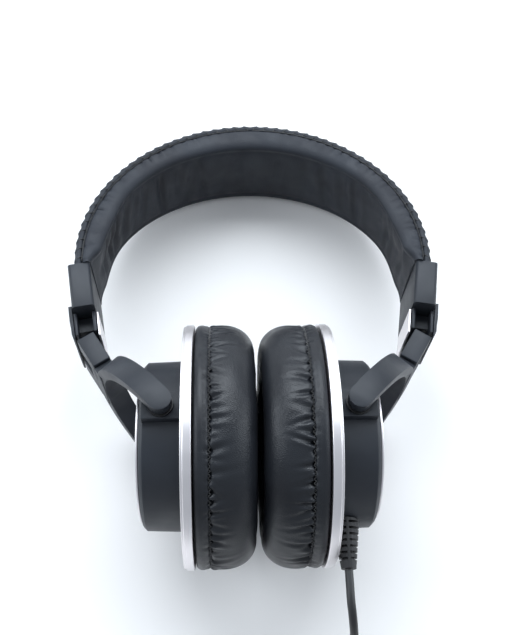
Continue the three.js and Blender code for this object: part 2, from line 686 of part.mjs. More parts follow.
function diaphragm() {
  const rim = CONE_R - GAP;
  const front = BAFFLE_FRONT + 2 * GAP;
  const dome = front + 3.4 * CONE_WALL;
  const shoulder = front + 2.4 * CONE_WALL;
  return turned([
    [0, dome + CONE_WALL], [rim / 2, shoulder + CONE_WALL], [rim, front + CONE_WALL], [rim, front],
    [rim / 2, shoulder], [0, dome],
  ], SMALL_STEPS);
}

function acousticCloth() {
  const back = BAFFLE_FRONT - GAP - CLOTH_SAG;
  const rim = BASE_HOLE_R - GAP;
  return turned([[0, back - CLOTH_WALL], [rim, back - CLOTH_WALL], [rim, back], [0, back]], SMALL_STEPS);
}

// The rolled skirt that stretches over the baffle's rim.
function cushionBase() {
  const lip = BAFFLE_R + GAP;
  const floor = BAFFLE_FRONT - GAP;
  return turned([
    [BASE_HOLE_R, BASE_FRONT], [RING_R - 1.5, BASE_FRONT], [RING_R, BASE_FRONT + 1.6],
    [RING_R, BASE_BACK - 1.4], [RING_R - 1, BASE_BACK], [lip, BASE_BACK], [lip, floor],
    [BASE_HOLE_R, floor], [BASE_HOLE_R, BASE_FRONT],
  ]);
}

// The foam core, as wide as the ring, its face rounded over at both edges.
function cushion() {
  return turned([
    [CUSHION_HOLE_R, CUSHION_SEAM], [RING_R - 1.6, CUSHION_SEAM], [RING_R, CUSHION_SEAM - 4.5],
    [RING_R - 0.8, CUSHION_FACE + 3.2], [RING_R - 4, CUSHION_FACE + 0.8],
    [RING_R - 8, CUSHION_FACE], [CUSHION_HOLE_R + 7, CUSHION_FACE],
    [CUSHION_HOLE_R + 2.6, CUSHION_FACE + 1.4], [CUSHION_HOLE_R, CUSHION_FACE + 5],
    [CUSHION_HOLE_R, CUSHION_SEAM],
  ]);
}

function cup(side, suffix) {
  const centred = [
    ['end_disc', endDisc(), 'silver'],
    ['trim_ring', trimRing(), 'silver'],
    ['baffle', baffle(), 'plastic'],
    ['driver_frame', driverFrame(), 'plastic'],
    ['driver_magnet', magnet(), 'steel'],
    ['driver_diaphragm', diaphragm(), 'film'],
    ['acoustic_cloth', acousticCloth(), 'cloth'],
    ['cushion_base', cushionBase(), 'leather'],
    ['ear_cushion', cushion(), 'leather'],
  ];
  return [
    piece(`cup_housing_${suffix}`, housing(side > 0), 'plastic', side),
    piece(`pivot_bush_front_${suffix}`, bush(1), 'rubber', side),
    piece(`pivot_bush_back_${suffix}`, bush(-1), 'rubber', side),
    ...centred.map(([name, geometry, material]) => (
      piece(`${name}_${suffix}`, geometry.translate(0, CUP_Y, 0), material, side)
    )),
  ];
}

// ---------- cord ----------

// A tapered sleeve with rows of slots on both sides of a rib, its collar shaped to cup and ring.
function strainRelief() {
  const top = CUP_Y - CUP_R + RELIEF_SUNK;
  const height = top - RELIEF_END_Y;
  const middle = (top + RELIEF_END_Y) / 2;
  const sleeve = new THREE.CylinderGeometry(RELIEF_TOP_R, RELIEF_END_R, height, SMALL_STEPS);
  const reach = CUP_ROOT_R + GAP;
  const cupSurface = turned([
    [0, 0], [RING_R + GAP, 0], [RING_R + GAP, RING_BACK + GAP], [reach, RING_BACK + GAP],
    [reach, 2 * PIVOT_X], [0, 2 * PIVOT_X],
  ]);
  const collar = cut(sleeve.translate(RELIEF_X, middle, RELIEF_Z), cupSurface.translate(0, CUP_Y, 0));
  const neck = rod(RELIEF_NECK_R, top - 2 * RELIEF_SUNK, top).translate(RELIEF_X, 0, RELIEF_Z);
  const slots = [];
  for (let i = 0; i < RELIEF_SLOTS; i++) {
    slots.push(reliefSlot(RELIEF_END_Y + RELIEF_FIRST_SLOT + i * RELIEF_SLOT_PITCH));
  }
  return cut(join(collar, neck), ...slots);
}

function reliefSlot(y) {
  const ring = new THREE.LatheGeometry([
    new THREE.Vector2(RELIEF_CORE_R, y), new THREE.Vector2(RELIEF_TOP_R + 1, y),
    new THREE.Vector2(RELIEF_TOP_R + 1, y + RELIEF_SLOT), new THREE.Vector2(RELIEF_CORE_R, y + RELIEF_SLOT),
    new THREE.Vector2(RELIEF_CORE_R, y),
  ], 12);
  const rib = block([-RELIEF_RIB / 2, y - 1, -2 * RELIEF_TOP_R], [RELIEF_RIB / 2, y + 2, 2 * RELIEF_TOP_R]);
  return cut(ring, rib).translate(RELIEF_X, 0, RELIEF_Z);
}

function cordRun() {
  const route = new THREE.CatmullRomCurve3(CORD_ROUTE.map((point) => new THREE.Vector3(...point)));
  const section = new THREE.Shape();
  section.absarc(0, 0, CORD_D / 2, 0, 2 * Math.PI);
  return new THREE.ExtrudeGeometry(section, { steps: 26, extrudePath: route, curveSegments: 4 });
}

// The outer shape of the coil's bundle of turns, grown by a margin.
function bundleRing(margin) {
  const bundle = COIL_BUNDLE_R + margin;
  const centreZ = COIL_BUNDLE_R + GAP + TIE_WALL;
  const profile = [];
  for (let i = 0; i <= 8; i++) {
    const angle = (i / 8) * 2 * Math.PI;
    profile.push(new THREE.Vector2(COIL_MID_R + bundle * Math.cos(angle), bundle * Math.sin(angle)));
  }
  return new THREE.LatheGeometry(profile, 32).rotateX(Math.PI / 2).translate(COIL_X, COIL_Y, centreZ);
}

// A strap closed round the bundle on the coil's far side.
function cableTie() {
  const reach = COIL_BUNDLE_R + GAP + TIE_WALL;
  const farSide = block(
    [COIL_X - TIE_HALF_WIDTH, COIL_Y - COIL_MID_R - 2 * reach, -1],
    [COIL_X + TIE_HALF_WIDTH, COIL_Y, 2 * reach + 1],
  );
  return common(cut(bundleRing(GAP + TIE_WALL), bundleRing(GAP)), farSide);
}

function plugGrip() {
  return new THREE.LatheGeometry([
    new THREE.Vector2(0, 0), new THREE.Vector2(PLUG_NECK_R, 0),
    new THREE.Vector2(PLUG_NECK_R + 0.4, PLUG_NECK_LENGTH),
    new THREE.Vector2(PLUG_GRIP_R - 0.5, PLUG_NECK_LENGTH + 1.5),
    new THREE.Vector2(PLUG_GRIP_R, PLUG_NECK_LENGTH + 3),
    new THREE.Vector2(PLUG_GRIP_R, PLUG_GRIP_LENGTH), new THREE.Vector2(0, PLUG_GRIP_LENGTH),
  ], 16);
}

function plugJack() {
  const start = PLUG_GRIP_LENGTH + GAP;
  const tip = start + JACK_LENGTH;
  return new THREE.LatheGeometry([
    new THREE.Vector2(0, start), new THREE.Vector2(JACK_R, start), new THREE.Vector2(JACK_R, tip - 3.4),
    new THREE.Vector2(JACK_TIP_R, tip - 2.6), new THREE.Vector2(JACK_TIP_R + 0.4, tip - 1.6),
    new THREE.Vector2(0, tip),
  ], 16);
}

// The coil, its tie and the plug lie on the table beyond the cups.
function storedCord() {
  const laid = (geometry) => geometry.rotateZ(-Math.PI / 2).translate(PLUG_X, PLUG_Y, PLUG_GRIP_R + GAP);
  return [
    piece('cord_run', cordRun(), 'rubber'),
    piece('cord_coil', bundleRing(0), 'rubber'),
    piece('cable_tie', cableTie(), 'cloth'),
    piece('plug_grip', laid(plugGrip()), 'rubber'),
    piece('plug_jack', laid(plugJack()), 'silver'),
  ];
}

// ---------- assembly ----------

// How far the headphones lean back when rings and band lie on a table.
function restAngle() {
  const crownY = BAND_CENTRE_Y + BAND_RISE - CUP_Y;
  return Math.asin(RING_R / Math.hypot(crownY, BAND_HALF_WIDTH)) - Math.atan2(BAND_HALF_WIDTH, crownY);
}

const headphones = new THREE.Group();
headphones.rotation.x = -restAngle();
headphones.add(...crownSection());
for (const [side, suffix] of [[1, 'left'], [-1, 'right']]) {
  headphones.add(...bandSide(side, suffix), slider(side, suffix), knuckleGroup(side, suffix));
  headphones.add(...yokeGroup(side, suffix), ...cup(side, suffix));
}

// The origin is under the middle of the headphones, on the table.
const product = new THREE.Group();
headphones.updateMatrixWorld(true);
const extent = new THREE.Box3().setFromObject(headphones, true);
const middle = extent.getCenter(new THREE.Vector3());
headphones.position.set(-middle.x, -middle.y, -extent.min.z);
headphones.add(piece('strain_relief', strainRelief(), 'rubber'));
product.add(headphones, ...storedCord());

export default product;
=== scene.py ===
# Over-ear headphones lying on their back, front side up, on a pale table.
# Soft pieces are built in the wearer's frame, in millimetres: x towards the wearer's left ear,
# y towards the crown, z towards the front, with the cups' tilt axes at y = 0, z = 0.

import json
import math
import random

import bpy
from mathutils import Matrix, Vector


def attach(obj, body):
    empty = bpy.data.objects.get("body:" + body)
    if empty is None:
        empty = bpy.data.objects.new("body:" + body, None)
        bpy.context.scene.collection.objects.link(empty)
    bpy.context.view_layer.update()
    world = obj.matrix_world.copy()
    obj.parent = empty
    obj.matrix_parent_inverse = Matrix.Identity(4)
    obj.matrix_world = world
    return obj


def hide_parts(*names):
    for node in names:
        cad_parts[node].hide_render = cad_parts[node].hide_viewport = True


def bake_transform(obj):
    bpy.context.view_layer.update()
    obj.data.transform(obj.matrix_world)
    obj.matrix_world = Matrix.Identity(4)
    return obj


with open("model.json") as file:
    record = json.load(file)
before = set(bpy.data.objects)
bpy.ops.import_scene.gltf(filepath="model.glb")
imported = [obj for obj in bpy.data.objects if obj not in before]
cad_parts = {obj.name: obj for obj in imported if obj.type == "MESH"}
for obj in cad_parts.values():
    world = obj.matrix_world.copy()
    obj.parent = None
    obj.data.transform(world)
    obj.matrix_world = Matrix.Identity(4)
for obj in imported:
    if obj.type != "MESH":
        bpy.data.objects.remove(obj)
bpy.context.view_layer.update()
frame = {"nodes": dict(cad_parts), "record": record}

# ---------- places and sizes, in the wearer's frame and in millimetres ----------

LEAN = math.radians(11.504)          # how far the headphones lean back on the table
TILT_AXIS_Y = -0.045258              # the cups' tilt axes in the row frame, in metres
TILT_AXIS_Z = 0.045162
SIDES = (("left", 1), ("right", -1))

# band: nested half ellipses about one centre
BAND_CENTRE_Y = 72.6
BAND_OUTER = (72.2, 65.4)
BAND_END_Y = 67.0
BAND_HALF_WIDTH = 18.0
PAD_DEPTH = 3.4                      # from the cover's outside to the top of the padding
PAD_WALL = (4.4, 9.8)                # padding low on the band's sides, and at the crown
WALL_TAPER = (2.6, 1.2)              # low down it is thicker in front by this, thinner behind by that
END_WALL = 3.3                       # padding where it meets the end block
END_RUN = (8.0, 12.0)                # height over which it thins down to that, in front and behind
REAR_TRIM = 0.965                    # the band's rear edge is this much closer in, clear of the table
HAUNCH = (2.4, 1.8)                  # extra thickness of the front and rear edges half-way up
HAUNCH_Y = (87.0, 80.0)
STITCH_PITCH = 4.6
HAUNCH_RUN = 13.0                    # height over which the haunch rises and falls
BAND_SPACING = 0.7                   # distance between the band's rows of points
CROWN_FADE = 6.0                     # folds fade out over this length, where the halves meet
FOLD_COUNT = 13
FOLD_SIZE = (1.1, 2.2)               # depth of the padding's folds, left and right
PUCKER_COUNT = 26
PUCKER_SIZE = 0.8
FOLD_FROM_DEPTH = 11.0               # folds begin at this depth, on the padding's inner side
FOLD_HALF_WIDTH = 15.5               # and end at this distance from the band's centreline
PAD_PINCH = 0.3                      # how far the edges draw in between stitches
COVER_PINCH = (0.25, 0.3)            # the same for the cover, inwards and down

# cup
CUP_Y = -2.7                         # the cup's centre hangs below its tilt axis
RING_R = 45.7
RING_INNER_R = 38.6
RING_FRONT = 23.4
RING_BACK = 27.2
DISC_R = 28.6
DISC_BACK = 42.6
DISC_WALL = 0.8
SEAM_R = 44.2
SEAM_X = 17.5

# cord
CORD_D = 3.0
COIL_CENTRE = (62.0, -160.0)
COIL_MID_R = 18.0
COIL_ROWS = (3, 4, 5, 6, 5, 2)       # turns in each layer, from the table up
COIL_FLOOR = 2.6                     # height of the lowest layer's centreline
LAYER_RISE = 0.866                   # height of each further layer, in diameters
COIL_STEPS = 16                      # points in each turn
COIL_START = math.pi - 0.25          # angle at which the first turn begins
CROSSING = 0.75                      # share of a turn after which it moves over to the next
TIE_HALF_WIDTH = 5.5
PLUG_START = (78.0, -184.0, 4.8)

# seeds of the random draws, left and right
SEEDS = {
    "pad_outline": (11, 23), "long_folds": (5, 8), "short_folds": (15, 18), "skirt": (31, 37),
    "thread": (41, 43), "band_folds": (51, 57), "band_puckers": (61, 67),
}


def by_side(pair, side):
    """The left or right value of a pair."""
    return pair[0] if side > 0 else pair[1]


def row_matrix():
    """The wearer's frame in millimetres to the row frame in metres."""
    place = Matrix.Translation((0, TILT_AXIS_Y, TILT_AXIS_Z))
    return place @ Matrix.Rotation(-LEAN, 4, "X") @ Matrix.Scale(0.001, 4)


TO_ROW = row_matrix()
TABLE_MM = Matrix.Scale(0.001, 4)


# ---------- mesh tools ----------

def add_mesh(name, points, faces, material, place=TO_ROW):
    mesh = bpy.data.meshes.new(name)
    mesh.from_pydata([place @ Vector(p) for p in points], [], faces)
    mesh.validate()
    for polygon in mesh.polygons:
        polygon.use_smooth = True
    mesh.materials.append(material)
    obj = bpy.data.objects.new(name, mesh)
    bpy.context.scene.collection.objects.link(obj)
    return obj


def bridge(rows, closed_rows, closed_columns):
    """Quads over a grid of points given as a list of rows."""
    count, width = len(rows), len(rows[0])
    points = [p for row in rows for p in row]
    faces = []
    for i in range(count if closed_rows else count - 1):
        for j in range(width if closed_columns else width - 1):
            a, b = i * width + j, i * width + (j + 1) % width
            c, d = ((i + 1) % count) * width + (j + 1) % width, ((i + 1) % count) * width + j
            faces.append((a, b, c, d))
    return points, faces


def capped(rows):
    """A tube of closed rows with both ends filled."""
    points, faces = bridge(rows, False, True)
    width = len(rows[0])
    faces.append(tuple(reversed(range(width))))
    faces.append(tuple(range(len(points) - width, len(points))))
    return points, faces


def outward(obj):
    """Turns the faces of a closed mesh outwards."""
    mesh = obj.data
    volume = 0.0
    for polygon in mesh.polygons:
        corners = [mesh.vertices[i].co for i in polygon.vertices]
        for k in range(1, len(corners) - 1):
            volume += corners[0].dot(corners[k].cross(corners[k + 1]))
    if volume < 0:
        mesh.flip_normals()
    return obj


def smooth_path(points, steps, closed=False):
    """A Catmull-Rom curve through points, with a number of steps for each span."""
    points = [Vector(p) for p in points]
    count = len(points)
    spans = count if closed else count - 1
    curve = []
    for i in range(spans):
        if closed:
            p0, p1, p2, p3 = (points[(i + k) % count] for k in (-1, 0, 1, 2))
        else:
            p0, p1, p2, p3 = (points[min(max(i + k, 0), count - 1)] for k in (-1, 0, 1, 2))
        for k in range(steps):
            t = k / steps
            curve.append(0.5 * (2 * p1 + (p2 - p0) * t + (2 * p0 - 5 * p1 + 4 * p2 - p3) * t * t
                                + (3 * p1 - p0 - 3 * p2 + p3) * t ** 3))
    if not closed:
        curve.append(points[-1])
    return curve


def tube_rows(path, radius, sides=6, closed=False, taper=False):
    """Rings of points round a path; a tapered tube thins towards both ends."""
    rows = []
    count = len(path)
    normal = None
    for i, point in enumerate(path):
        ahead = path[(i + 1) % count] if closed else path[min(i + 1, count - 1)]
        behind = path[i - 1] if closed or i > 0 else path[0]
        along = (ahead - behind).normalized()
        if normal is None:
            normal = along.orthogonal().normalized()
        normal = (normal - along * normal.dot(along)).normalized()
        across = along.cross(normal)
        r = radius
        if taper:
            r *= 0.35 + 0.65 * math.sin(math.pi * (i + 0.5) / count) ** 0.5
        rows.append([point + r * (math.cos(a) * normal + math.sin(a) * across)
                     for a in (2 * math.pi * k / sides for k in range(sides))])
    return rows


def lathe(name, profile, material, side=1, steps=160, place=TO_ROW, centre_y=0.0):
    """A closed profile of (radius, distance) points turned about the x axis."""
    rows = []
    for i in range(steps):
        angle = 2 * math.pi * i / steps
        rows.append([(side * x, centre_y + r * math.cos(angle), r * math.sin(angle))
                     for r, x in profile])
    points, faces = bridge(rows, True, True)
    return outward(add_mesh(name, points, faces, material, place))


def rounded(profile, radius=0.35, steps=3):
    """A closed profile with each corner cut to a small arc."""
    result = []
    count = len(profile)
    for i, corner in enumerate(profile):
        here = Vector(corner)
        before, after = Vector(profile[i - 1]), Vector(profile[(i + 1) % count])
        back, on = before - here, after - here
        reach = min(radius, 0.4 * back.length, 0.4 * on.length)
        start, end = here + back.normalized() * reach, here + on.normalized() * reach
        for k in range(steps + 1):
            t = k / steps
            result.append(tuple((1 - t) ** 2 * start + 2 * t * (1 - t) * here + t * t * end))
    return result


def joined(name, parts, material, place=TO_ROW):
    """One mesh of several (points, faces) parts."""
    points, faces = [], []
    for part_points, part_faces in parts:
        base = len(points)
        points += part_points
        faces += [tuple(base + i for i in face) for face in part_faces]
    return add_mesh(name, points, faces, material, place)


def apply_modifiers(obj):
    graph = bpy.context.evaluated_depsgraph_get()
    mesh = bpy.data.meshes.new_from_object(obj.evaluated_get(graph))
    obj.modifiers.clear()
    obj.data = mesh


def subdivided(obj, levels=1):
    modifier = obj.modifiers.new("subdivide", "SUBSURF")
    modifier.levels = modifier.render_levels = levels
    apply_modifiers(obj)


def bell(distance, width):
    return math.exp(-(distance / width) ** 2)


# ---------- materials ----------

SPECULAR = 0.34                      # leather and plastic shine less than the shader's usual 0.5


class Shader:
    """A Principled material with procedural detail in object space."""

    def __init__(self, name, colour, roughness, metallic=0.0):
        self.material = bpy.data.materials.new(name)
        self.material.use_nodes = True
        self.tree = self.material.node_tree
        self.bsdf = self.tree.nodes["Principled BSDF"]
        self.bsdf.inputs["Base Color"].default_value = (*colour, 1)
        self.bsdf.inputs["Roughness"].default_value = roughness
        self.bsdf.inputs["Metallic"].default_value = metallic
        self.coordinate = self.tree.nodes.new("ShaderNodeTexCoord").outputs["Object"]
        self.last_bump = None

    def stretched(self, scale):
        mapping = self.tree.nodes.new("ShaderNodeMapping")
        mapping.inputs["Scale"].default_value = scale
        self.tree.links.new(self.coordinate, mapping.inputs["Vector"])
        return mapping.outputs["Vector"]

    def noise(self, scale, detail=3.0, vector=None):
        node = self.tree.nodes.new("ShaderNodeTexNoise")
        node.inputs["Scale"].default_value = scale
        node.inputs["Detail"].default_value = detail
        self.tree.links.new(vector or self.coordinate, node.inputs["Vector"])
        return node.outputs["Fac"]

    def cells(self, scale, feature="DISTANCE_TO_EDGE"):
        node = self.tree.nodes.new("ShaderNodeTexVoronoi")
        node.feature = feature
        node.inputs["Scale"].default_value = scale
        self.tree.links.new(self.coordinate, node.inputs["Vector"])
        return node.outputs["Distance"]

    def mapped(self, value, low, high, source=(0.3, 0.7)):
        node = self.tree.nodes.new("ShaderNodeMapRange")
        node.inputs["From Min"].default_value, node.inputs["From Max"].default_value = source
        node.inputs["To Min"].default_value = low
        node.inputs["To Max"].default_value = high
        self.tree.links.new(value, node.inputs["Value"])
        return node.outputs["Result"]

    def vary_roughness(self, scale, low, high, vector=None):
        value = self.mapped(self.noise(scale, vector=vector), low, high)
        self.tree.links.new(value, self.bsdf.inputs["Roughness"])

    def vary_colour(self, scale, dark, light):
        node = self.tree.nodes.new("ShaderNodeValToRGB")
        node.color_ramp.elements[0].position, node.color_ramp.elements[1].position = 0.35, 0.65
        node.color_ramp.elements[0].color = (*dark, 1)
        node.color_ramp.elements[1].color = (*light, 1)
        self.tree.links.new(self.noise(scale), node.inputs["Fac"])
        self.tree.links.new(node.outputs["Color"], self.bsdf.inputs["Base Color"])

    def bump(self, height, strength, distance):
        node = self.tree.nodes.new("ShaderNodeBump")
        node.inputs["Strength"].default_value = strength
        node.inputs["Distance"].default_value = distance
        self.tree.links.new(height, node.inputs["Height"])
        if self.last_bump:
            self.tree.links.new(self.last_bump, node.inputs["Normal"])
        self.last_bump = node.outputs["Normal"]
        self.tree.links.new(self.last_bump, self.bsdf.inputs["Normal"])


def leather(name, dark, light, rough, grain=1300, grain_depth=0.00012):
    shader = Shader(name, light, rough[0])
    shader.vary_colour(45, dark, light)
    shader.vary_roughness(160, *rough)
    pores = shader.mapped(shader.cells(grain), 0, 1, (0.0, 0.35))
    shader.bump(pores, 0.35, grain_depth)
    shader.bump(shader.noise(700, 4), 0.25, grain_depth)
    shader.bsdf.inputs["Specular IOR Level"].default_value = SPECULAR
    return shader.material


def plastic(name, colour, rough, texture=3500):
    shader = Shader(name, colour, rough[0])
    shader.vary_colour(30, tuple(c * 0.85 for c in colour), tuple(c * 1.15 for c in colour))
    shader.vary_roughness(90, *rough)
    shader.bump(shader.noise(texture, 2), 0.18, 0.00005)
    shader.bsdf.inputs["Specular IOR Level"].default_value = SPECULAR
    return shader.material


def satin_metal(name, colour, rough, brush=(60, 900, 900)):
    shader = Shader(name, colour, rough[0], 1.0)
    shader.vary_roughness(1.0, *rough, vector=shader.stretched(brush))
    shader.bump(shader.noise(1.0, 2, shader.stretched(brush)), 0.06, 0.00003)
    return shader.material


def rubber(name, colour, rough):
    shader = Shader(name, colour, rough[0])
    shader.vary_roughness(220, *rough)
    shader.bump(shader.noise(2600, 3), 0.2, 0.00006)
    return shader.material


def woven(name, colour, thread):
    shader = Shader(name, colour, 0.85)
    shader.vary_colour(120, tuple(c * 0.7 for c in colour), tuple(c * 1.4 for c in colour))
    shader.bump(shader.cells(thread, "F1"), 0.6, 0.0002)
    shader.bsdf.inputs["Sheen Weight"].default_value = 0.3
    return shader.material


LEATHER_BAND = leather("band_leatherette", (0.013, 0.015, 0.021), (0.020, 0.024, 0.032), (0.52, 0.66))
LEATHER_CUSHION = leather("cushion_leatherette", (0.008, 0.009, 0.012), (0.014, 0.016, 0.020),
                          (0.30, 0.42), 1500)
PLASTIC = plastic("charcoal_plastic", (0.018, 0.021, 0.027), (0.42, 0.54))
DARK_PLASTIC = plastic("inner_plastic", (0.012, 0.012, 0.013), (0.5, 0.62))
SILVER = satin_metal("satin_silver", (0.84, 0.81, 0.82), (0.38, 0.44), (40, 160, 160))
STEEL = satin_metal("steel", (0.5, 0.5, 0.51), (0.25, 0.4), (900, 60, 900))
PLATED = satin_metal("plated_contacts", (0.82, 0.80, 0.76), (0.12, 0.2))
RUBBER = rubber("black_rubber", (0.010, 0.010, 0.011), (0.45, 0.6))
SHEATH = rubber("cord_sheath", (0.012, 0.012, 0.013), (0.38, 0.5))
THREAD = woven("black_thread", (0.010, 0.010, 0.011), 2500)
MESH_CLOTH = woven("driver_cloth", (0.014, 0.014, 0.015), 1800)
STRAP = woven("tie_weave", (0.012, 0.012, 0.013), 1500)
FILM = plastic("driver_film", (0.45, 0.41, 0.34), (0.2, 0.3))

NODE_MATERIALS = {
    "body_plastic": PLASTIC, "silver_trim": SILVER, "steel": STEEL, "rubber": RUBBER,
    "cord_rubber": SHEATH, "driver_film": FILM, "acoustic_fabric": MESH_CLOTH,
    "tie_fabric": STRAP, "plug_metal": PLATED, "band_leather": LEATHER_BAND,
    "cushion_leather": LEATHER_CUSHION,
}


# ---------- camera ----------

CAMERA_PLACE = Vector((-0.01207, -0.09011, 0.36729))
CAMERA_TARGET = Vector((-0.00047, 0.00566, 0.03480))
CAMERA_ROLL = math.radians(1.04)
CAMERA_LENS = 47.68


def add_camera():
    data = bpy.data.cameras.new("camera")
    data.lens = CAMERA_LENS
    data.clip_start = 0.01
    camera = bpy.data.objects.new("camera", data)
    bpy.context.scene.collection.objects.link(camera)
    back = (CAMERA_PLACE - CAMERA_TARGET).normalized()
    right = Vector((0, 1, 0)).cross(back).normalized()
    up = back.cross(right)
    turn = Matrix((right, up, back)).transposed().to_4x4()
    camera.matrix_world = Matrix.Translation(CAMERA_PLACE) @ turn @ Matrix.Rotation(-CAMERA_ROLL, 4, "Z")
    bpy.context.scene.camera = camera


# ---------- cord ----------

CORD_ROUTE = [
    (30.9, -94.2, 60.2), (30.9, -99.0, 61.2), (30.9, -103.9, 61.9), (31.3, -108.8, 61.4),
    (31.9, -113.4, 58.6), (32.6, -117.5, 53.4), (33.3, -120.9, 46.2), (33.9, -123.8, 38.1),
    (34.4, -126.4, 29.5), (34.8, -129.1, 21.2), (35.1, -132.3, 13.5), (35.3, -136.5, 7.0),
    (35.4, -141.4, 3.2), (35.5, -146.5, 1.8), (35.6, -150.8, 2.0), (35.9, -154.5, 2.7),
]


def coil_slots():
    """Radius and height of each turn, layer by layer, back and forth across each layer."""
    slots = []
    for layer, count in enumerate(COIL_ROWS):
        radii = [COIL_MID_R + (k - (count - 1) / 2) * CORD_D for k in range(count)]
        height = COIL_FLOOR + layer * CORD_D * LAYER_RISE
        if layer % 2 == 0:
            radii.reverse()
        slots += [(r, height) for r in radii]
    return slots


def coil_path():
    """The coil's turns, wound anticlockwise from its left side."""
    slots = coil_slots()
    path = []
    for turn, (radius, height) in enumerate(slots):
        next_radius, next_height = slots[min(turn + 1, len(slots) - 1)]
        for k in range(COIL_STEPS):
            share = max(0.0, (k - COIL_STEPS * CROSSING) / (COIL_STEPS * (1 - CROSSING)))
            ease = share * share * (3 - 2 * share)
            r = radius + (next_radius - radius) * ease
            z = height + (next_height - height) * ease
            angle = COIL_START + 2 * math.pi * k / COIL_STEPS
            x = COIL_CENTRE[0] + r * math.cos(angle)
            y = COIL_CENTRE[1] + r * math.sin(angle)
            path.append((x, y, z))
    return path


def add_cord():
    lead = CORD_ROUTE[:-2]           # the coil takes over from the route's last two points
    coil = coil_path()
    tail = [(66.0, -181.0, 13.5), (71.0, -184.5, 8.0), (76.5, -184.2, 5.2), PLUG_START]
    points = [tuple(c / 1000 for c in p) for p in [*lead, *coil, *tail]]
    data = bpy.data.curves.new("cord", "CURVE")
    data.dimensions = "3D"
    data.bevel_depth = CORD_D / 2000
    data.bevel_resolution = 3
    data.resolution_u = 4
    data.use_fill_caps = True
    spline = data.splines.new("BEZIER")
    spline.bezier_points.add(len(points) - 1)
    for bezier, point in zip(spline.bezier_points, points):
        bezier.co = point
        bezier.handle_left_type = bezier.handle_right_type = "AUTO"
    data.materials.append(SHEATH)
    cord = bpy.data.objects.new("cord", data)
    bpy.context.scene.collection.objects.link(cord)
    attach(cord, "cup_left")
    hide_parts("cord_run", "cord_coil")
    return cord


def add_tie():
    """A woven strap round the bundle of turns."""
    outline = [(COIL_MID_R - 9.4, 3.4), (COIL_MID_R - 8.0, 1.15), (COIL_MID_R + 5.0, 0.75),
               (COIL_MID_R + 8.6, 3.0), (COIL_MID_R + 9.9, 9.0), (COIL_MID_R + 8.6, 13.2),
               (COIL_MID_R + 3.0, 17.2), (COIL_MID_R - 3.0, 17.3), (COIL_MID_R - 8.4, 13.6),
               (COIL_MID_R - 10.0, 8.6)]
    path = smooth_path([(0, -r, z) for r, z in outline], 6, closed=True)
    half = TIE_HALF_WIDTH
    centre = sum(path, Vector()) / len(path)
    rows = []
    for point in path:
        out = (point - centre).normalized()
        rows.append([point + Vector((dx, 0, 0)) + out * rise for dx, rise in
                     ((-half, 0.1), (-half + 0.4, 0.45), (half - 0.4, 0.45), (half, 0.1),
                      (half - 0.4, -0.3), (-half + 0.4, -0.3))])
    place = TABLE_MM @ Matrix.Translation((COIL_CENTRE[0], COIL_CENTRE[1], 0))
    points, faces = bridge(rows, True, True)
    tie = outward(add_mesh("cord_tie", points, faces, STRAP, place))
    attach(tie, "cup_left")
    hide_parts("cable_tie")
    return tie


def add_plug():
    """The plug's moulded grip, with rings to hold it by, and its contacts."""
    grip = [(0.01, 0), (2.0, 0)]
    for k in range(4):
        x = 1.0 + 1.7 * k
        grip += [(2.15 + 0.12 * k, x), (2.15 + 0.12 * k, x + 0.9), (1.75, x + 1.0), (1.75, x + 1.6)]
    grip += [(2.8, 8.2), (4.0, 9.6), (4.5, 11.0)]
    for k in range(6):
        x = 12.2 + 1.9 * k
        grip += [(4.5, x), (4.2, x + 0.35), (4.2, x + 0.85), (4.5, x + 1.2)]
    grip += [(4.5, 25.4), (4.0, 26.0), (0.01, 26.0)]
    place = TABLE_MM @ Matrix.Translation(PLUG_START)
    handle = lathe("plug_handle", rounded(grip, 0.15, 2), RUBBER, steps=48, place=place)
    jack = [(0.01, 26.2), (1.75, 26.2), (1.75, 29.2), (1.6, 29.3), (1.6, 29.8), (1.75, 29.9),
            (1.75, 32.6), (1.6, 32.7), (1.6, 33.2), (1.75, 33.3), (1.75, 36.6), (1.1, 37.6),
            (1.5, 38.6), (0.9, 39.8), (0.01, 40.2)]
    contacts = lathe("plug_contacts", rounded(jack, 0.12, 2), PLATED, steps=40, place=place)
    for obj, node, slot in ((handle, "plug_grip", "rubber"), (contacts, "plug_jack", "plug_metal")):
        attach(obj, "cup_left")
        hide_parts(node)
    return handle, contacts


# ---------- ear cushions ----------

CUSHION_PROFILE = [
    (SEAM_R, SEAM_X), (45.2, 15.4), (45.5, 12.0), (45.0, 8.6), (43.4, 5.2), (40.8, 2.6), (37.8, 1.3),
    (34.5, 1.0), (31.0, 1.4), (28.0, 2.9), (26.0, 5.6), (25.0, 9.0), (24.8, 13.4), (25.0, SEAM_X),
    (31.0, SEAM_X + 0.1), (38.0, SEAM_X + 0.1),
]
MIDDLE_PLANE = 0.08                  # each pad's flattened face stops just short of the other
FACE_SPREAD = 2.6                    # how far the inflated pad may move
TABLE_GAP = 0.0001                   # the pads flatten this far above the table, in metres
INFLATE_FRAMES = 20
PAD_STEPS = 120
SKIRT_STEPS = 480
SEAM_STITCHES = 180
FOLDED_FROM_R = 33.0                 # nearer the cup's centre than this the skin is plain
FOLD_SPAN = 0.16                     # a fold reaches no further round than this angle
LONG_FOLDS = (62, 11.5, 1.25, 0.3)   # count, reach, depth and how much deeper at the lower side
SHORT_FOLDS = (96, 4.5, 0.6, 0.1)
SKIRT_PUCKERS = (104, 3.4, 0.55, 0.1)


